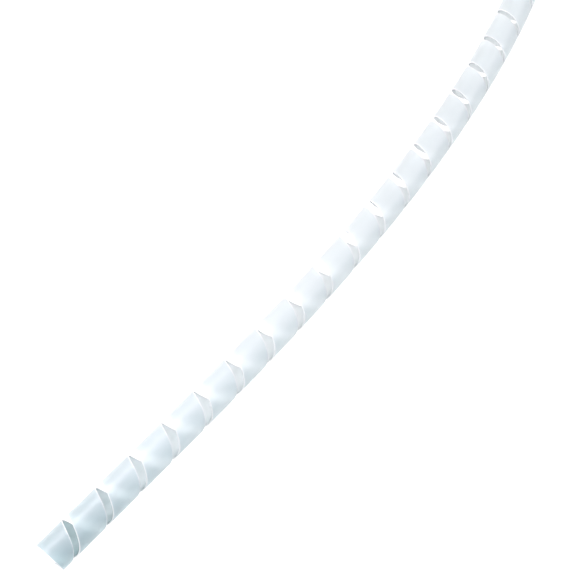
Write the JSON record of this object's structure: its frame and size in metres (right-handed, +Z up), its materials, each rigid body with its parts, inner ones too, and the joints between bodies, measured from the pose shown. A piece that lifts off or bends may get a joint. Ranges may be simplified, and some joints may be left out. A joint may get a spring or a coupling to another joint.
{
  "type": "spiral tree guard tube",
  "caption": "Springy spiral-cut tube of milky white plastic strip, wound round a young tree's trunk to keep off animals, trimmers and sun; it bends, stretches and unrolls at its ends.",
  "frame": {"origin": "on the ground, under the middle of the tube's bounding box", "axes": "+X along the tube towards the far end, +Z up from the ground, the side bow bulging towards -Y"},
  "size_m": [1.0194, 0.0866, 0.04],
  "materials": {
    "polyethylene": "milky translucent natural white polyethylene, semi-gloss"
  },
  "bodies": {
    "near_tip": {"near_tip": "polyethylene"},
    "near_flap": {"near_flap": "polyethylene"},
    "near_heel": {"near_heel": "polyethylene"},
    "cradle_01": {"cradle_01": "polyethylene"},
    "arch_01": {"arch_01": "polyethylene"},
    "cradle_02": {"cradle_02": "polyethylene"},
    "arch_02": {"arch_02": "polyethylene"},
    "cradle_03": {"cradle_03": "polyethylene"},
    "arch_03": {"arch_03": "polyethylene"},
    "cradle_04": {"cradle_04": "polyethylene"},
    "arch_04": {"arch_04": "polyethylene"},
    "cradle_05": {"cradle_05": "polyethylene"},
    "arch_05": {"arch_05": "polyethylene"},
    "cradle_06": {"cradle_06": "polyethylene"},
    "arch_06": {"arch_06": "polyethylene"},
    "cradle_07": {"cradle_07": "polyethylene"},
    "arch_07": {"arch_07": "polyethylene"},
    "cradle_08": {"cradle_08": "polyethylene"},
    "arch_08": {"arch_08": "polyethylene"},
    "cradle_09": {"cradle_09": "polyethylene"},
    "arch_09": {"arch_09": "polyethylene"},
    "cradle_10": {"cradle_10": "polyethylene"},
    "arch_10": {"arch_10": "polyethylene"},
    "cradle_11": {"cradle_11": "polyethylene"},
    "arch_11": {"arch_11": "polyethylene"},
    "cradle_12": {"cradle_12": "polyethylene"},
    "arch_12": {"arch_12": "polyethylene"},
    "cradle_13": {"cradle_13": "polyethylene"},
    "arch_13": {"arch_13": "polyethylene"},
    "cradle_14": {"cradle_14": "polyethylene"},
    "arch_14": {"arch_14": "polyethylene"},
    "cradle_15": {"cradle_15": "polyethylene"},
    "arch_15": {"arch_15": "polyethylene"},
    "cradle_16": {"cradle_16": "polyethylene"},
    "arch_16": {"arch_16": "polyethylene"},
    "cradle_17": {"cradle_17": "polyethylene"},
    "arch_17": {"arch_17": "polyethylene"},
    "cradle_18": {"cradle_18": "polyethylene"},
    "arch_18": {"arch_18": "polyethylene"},
    "cradle_19": {"cradle_19": "polyethylene"},
    "far_heel": {"far_heel": "polyethylene"},
    "far_flap": {"far_flap": "polyethylene"},
    "far_tip": {"far_tip": "polyethylene"}
  },
  "joints": [
    {"name": "stretch_arch_10", "type": "slide", "parent": "cradle_10", "child": "arch_10", "axis": [0.9996, -0.027, 0], "range_m": [-0.003, 0.012], "stiffness_N_per_m": 150},
    {"name": "bend_arch_09", "type": "hinge", "parent": "cradle_10", "child": "arch_09", "pos_m": [0.00024, -0.02141, 0.02], "axis": [0, 0, -1], "range_deg": [-6, 6], "stiffness_Nm_per_rad": 0.03},
    {"name": "bend_cradle_11", "type": "hinge", "parent": "arch_10", "child": "cradle_11", "pos_m": [0.05401, -0.02285, 0.02], "axis": [0, 0, 1], "range_deg": [-6, 6], "stiffness_Nm_per_rad": 0.03},
    {"name": "stretch_cradle_09", "type": "slide", "parent": "arch_09", "child": "cradle_09", "axis": [-0.999, 0.045, 0], "range_m": [-0.003, 0.012], "stiffness_N_per_m": 150},
    {"name": "stretch_arch_11", "type": "slide", "parent": "cradle_11", "child": "arch_11", "axis": [1, -0.0069, 0], "range_m": [-0.003, 0.012], "stiffness_N_per_m": 150},
    {"name": "bend_arch_08", "type": "hinge", "parent": "cradle_09", "child": "arch_08", "pos_m": [-0.05399, -0.01896, 0.02], "axis": [0, 0, -1], "range_deg": [-6, 6], "stiffness_Nm_per_rad": 0.03},
    {"name": "bend_cradle_12", "type": "hinge", "parent": "arch_11", "child": "cradle_12", "pos_m": [0.10721, -0.02321, 0.02], "axis": [0, 0, 1], "range_deg": [-6, 6], "stiffness_Nm_per_rad": 0.03},
    {"name": "stretch_cradle_08", "type": "slide", "parent": "arch_08", "child": "cradle_08", "axis": [-0.9981, 0.061, 0], "range_m": [-0.003, 0.012], "stiffness_N_per_m": 150},
    {"name": "stretch_arch_12", "type": "slide", "parent": "cradle_12", "child": "arch_12", "axis": [0.9999, 0.0151, 0], "range_m": [-0.003, 0.012], "stiffness_N_per_m": 150},
    {"name": "bend_arch_07", "type": "hinge", "parent": "cradle_08", "child": "arch_07", "pos_m": [-0.10853, -0.01564, 0.02], "axis": [0, 0, -1], "range_deg": [-6, 6], "stiffness_Nm_per_rad": 0.03},
    {"name": "bend_cradle_13", "type": "hinge", "parent": "arch_12", "child": "cradle_13", "pos_m": [0.15976, -0.02241, 0.02], "axis": [0, 0, 1], "range_deg": [-6, 6], "stiffness_Nm_per_rad": 0.03},
    {"name": "stretch_cradle_07", "type": "slide", "parent": "arch_07", "child": "cradle_07", "axis": [-0.9972, 0.0747, 0], "range_m": [-0.003, 0.012], "stiffness_N_per_m": 150},
    {"name": "stretch_arch_13", "type": "slide", "parent": "cradle_13", "child": "arch_13", "axis": [0.9992, 0.039, 0], "range_m": [-0.003, 0.012], "stiffness_N_per_m": 150},
    {"name": "bend_arch_06", "type": "hinge", "parent": "cradle_07", "child": "arch_06", "pos_m": [-0.16323, -0.01154, 0.02], "axis": [0, 0, -1], "range_deg": [-6, 6], "stiffness_Nm_per_rad": 0.03},
    {"name": "bend_cradle_14", "type": "hinge", "parent": "arch_13", "child": "cradle_14", "pos_m": [0.2116, -0.02039, 0.02], "axis": [0, 0, 1], "range_deg": [-6, 6], "stiffness_Nm_per_rad": 0.03},
    {"name": "stretch_cradle_06", "type": "slide", "parent": "arch_06", "child": "cradle_06", "axis": [-0.9963, 0.0862, 0], "range_m": [-0.003, 0.012], "stiffness_N_per_m": 150},
    {"name": "stretch_arch_14", "type": "slide", "parent": "cradle_14", "child": "arch_14", "axis": [0.9979, 0.0645, 0], "range_m": [-0.003, 0.012], "stiffness_N_per_m": 150},
    {"name": "bend_arch_05", "type": "hinge", "parent": "cradle_06", "child": "arch_05", "pos_m": [-0.2179, -0.00682, 0.02], "axis": [0, 0, -1], "range_deg": [-6, 6], "stiffness_Nm_per_rad": 0.03},
    {"name": "bend_cradle_15", "type": "hinge", "parent": "arch_14", "child": "cradle_15", "pos_m": [0.26273, -0.01708, 0.02], "axis": [0, 0, 1], "range_deg": [-6, 6], "stiffness_Nm_per_rad": 0.03},
    {"name": "stretch_cradle_05", "type": "slide", "parent": "arch_05", "child": "cradle_05", "axis": [-0.9954, 0.0954, 0], "range_m": [-0.003, 0.012], "stiffness_N_per_m": 150},
    {"name": "stretch_arch_15", "type": "slide", "parent": "cradle_15", "child": "arch_15", "axis": [0.9958, 0.0916, 0], "range_m": [-0.003, 0.012], "stiffness_N_per_m": 150},
    {"name": "bend_arch_04", "type": "hinge", "parent": "cradle_05", "child": "arch_04", "pos_m": [-0.27232, -0.00161, 0.02], "axis": [0, 0, -1], "range_deg": [-6, 6], "stiffness_Nm_per_rad": 0.03},
    {"name": "bend_cradle_16", "type": "hinge", "parent": "arch_15", "child": "cradle_16", "pos_m": [0.31315, -0.01244, 0.02], "axis": [0, 0, 1], "range_deg": [-6, 6], "stiffness_Nm_per_rad": 0.03},
    {"name": "stretch_cradle_04", "type": "slide", "parent": "arch_04", "child": "cradle_04", "axis": [-0.9948, 0.1023, 0], "range_m": [-0.003, 0.012], "stiffness_N_per_m": 150},
    {"name": "stretch_arch_16", "type": "slide", "parent": "cradle_16", "child": "arch_16", "axis": [0.9927, 0.1204, 0], "range_m": [-0.003, 0.012], "stiffness_N_per_m": 150},
    {"name": "bend_arch_03", "type": "hinge", "parent": "cradle_04", "child": "arch_03", "pos_m": [-0.32627, 0.00394, 0.02], "axis": [0, 0, -1], "range_deg": [-6, 6], "stiffness_Nm_per_rad": 0.03},
    {"name": "bend_cradle_17", "type": "hinge", "parent": "arch_16", "child": "cradle_17", "pos_m": [0.3629, -0.00641, 0.02], "axis": [0, 0, 1], "range_deg": [-6, 6], "stiffness_Nm_per_rad": 0.03},
    {"name": "stretch_cradle_03", "type": "slide", "parent": "arch_03", "child": "cradle_03", "axis": [-0.9943, 0.1068, 0], "range_m": [-0.003, 0.012], "stiffness_N_per_m": 150},
    {"name": "stretch_arch_17", "type": "slide", "parent": "cradle_17", "child": "arch_17", "axis": [0.9886, 0.1506, 0], "range_m": [-0.003, 0.012], "stiffness_N_per_m": 150},
    {"name": "bend_arch_02", "type": "hinge", "parent": "cradle_03", "child": "arch_02", "pos_m": [-0.37956, 0.00966, 0.02], "axis": [0, 0, -1], "range_deg": [-6, 6], "stiffness_Nm_per_rad": 0.03},
    {"name": "bend_cradle_18", "type": "hinge", "parent": "arch_17", "child": "cradle_18", "pos_m": [0.41203, 0.00108, 0.02], "axis": [0, 0, 1], "range_deg": [-6, 6], "stiffness_Nm_per_rad": 0.03},
    {"name": "stretch_cradle_02", "type": "slide", "parent": "arch_02", "child": "cradle_02", "axis": [-0.994, 0.1092, 0], "range_m": [-0.003, 0.012], "stiffness_N_per_m": 150},
    {"name": "stretch_arch_18", "type": "slide", "parent": "cradle_18", "child": "arch_18", "axis": [0.9832, 0.1823, 0], "range_m": [-0.003, 0.012], "stiffness_N_per_m": 150},
    {"name": "bend_arch_01", "type": "hinge", "parent": "cradle_02", "child": "arch_01", "pos_m": [-0.43204, 0.01541, 0.02], "axis": [0, 0, -1], "range_deg": [-6, 6], "stiffness_Nm_per_rad": 0.03},
    {"name": "bend_cradle_19", "type": "hinge", "parent": "arch_18", "child": "cradle_19", "pos_m": [0.46061, 0.01009, 0.02], "axis": [0, 0, 1], "range_deg": [-6, 6], "stiffness_Nm_per_rad": 0.03},
    {"name": "stretch_cradle_01", "type": "slide", "parent": "arch_01", "child": "cradle_01", "axis": [-0.994, 0.1094, 0], "range_m": [-0.003, 0.012], "stiffness_N_per_m": 150},
    {"name": "open_far_heel", "type": "hinge", "parent": "cradle_19", "child": "far_heel", "pos_m": [0.48901, -0.00434, 0.02], "axis": [0.9765, 0.2155, 0], "range_deg": [0, 30], "stiffness_Nm_per_rad": 0.12},
    {"name": "open_near_heel", "type": "hinge", "parent": "cradle_01", "child": "near_heel", "pos_m": [-0.48146, 0.04097, 0.02], "axis": [-0.9941, 0.1087, 0], "range_deg": [0, 30], "stiffness_Nm_per_rad": 0.12},
    {"name": "open_far_flap", "type": "hinge", "parent": "far_heel", "child": "far_flap", "pos_m": [0.49671, 0.01789, 0.04], "axis": [0.9746, 0.224, 0], "range_deg": [0, 30], "stiffness_Nm_per_rad": 0.12},
    {"name": "open_near_flap", "type": "hinge", "parent": "near_heel", "child": "near_flap", "pos_m": [-0.4964, 0.02248, 0.04], "axis": [-0.9941, 0.1082, 0], "range_deg": [0, 30], "stiffness_Nm_per_rad": 0.12},
    {"name": "open_far_tip", "type": "hinge", "parent": "far_flap", "child": "far_tip", "pos_m": [0.50403, 0.04015, 0.02], "axis": [0.9726, 0.2327, 0], "range_deg": [0, 30], "stiffness_Nm_per_rad": 0.12},
    {"name": "open_near_tip", "type": "hinge", "parent": "near_flap", "child": "near_tip", "pos_m": [-0.51126, 0.00398, 0.02], "axis": [-0.9942, 0.1076, 0], "range_deg": [0, 30], "stiffness_Nm_per_rad": 0.12}
  ],
  "couplings": [
    {"joint": "stretch_cradle_09", "follows": "stretch_arch_10", "ratio": 1},
    {"joint": "stretch_arch_11", "follows": "stretch_arch_10", "ratio": 1},
    {"joint": "stretch_cradle_08", "follows": "stretch_arch_10", "ratio": 1},
    {"joint": "stretch_arch_12", "follows": "stretch_arch_10", "ratio": 1},
    {"joint": "stretch_cradle_07", "follows": "stretch_arch_10", "ratio": 1},
    {"joint": "stretch_arch_13", "follows": "stretch_arch_10", "ratio": 1},
    {"joint": "stretch_cradle_06", "follows": "stretch_arch_10", "ratio": 1},
    {"joint": "stretch_arch_14", "follows": "stretch_arch_10", "ratio": 1},
    {"joint": "stretch_cradle_05", "follows": "stretch_arch_10", "ratio": 1},
    {"joint": "stretch_arch_15", "follows": "stretch_arch_10", "ratio": 1},
    {"joint": "stretch_cradle_04", "follows": "stretch_arch_10", "ratio": 1},
    {"joint": "stretch_arch_16", "follows": "stretch_arch_10", "ratio": 1},
    {"joint": "stretch_cradle_03", "follows": "stretch_arch_10", "ratio": 1},
    {"joint": "stretch_arch_17", "follows": "stretch_arch_10", "ratio": 1},
    {"joint": "stretch_cradle_02", "follows": "stretch_arch_10", "ratio": 1},
    {"joint": "stretch_arch_18", "follows": "stretch_arch_10", "ratio": 1},
    {"joint": "stretch_cradle_01", "follows": "stretch_arch_10", "ratio": 1},
    {"joint": "open_far_flap", "follows": "open_far_heel", "ratio": 1},
    {"joint": "open_near_flap", "follows": "open_near_heel", "ratio": 1},
    {"joint": "open_far_tip", "follows": "open_far_heel", "ratio": 1},
    {"joint": "open_near_tip", "follows": "open_near_heel", "ratio": 1}
  ]
}
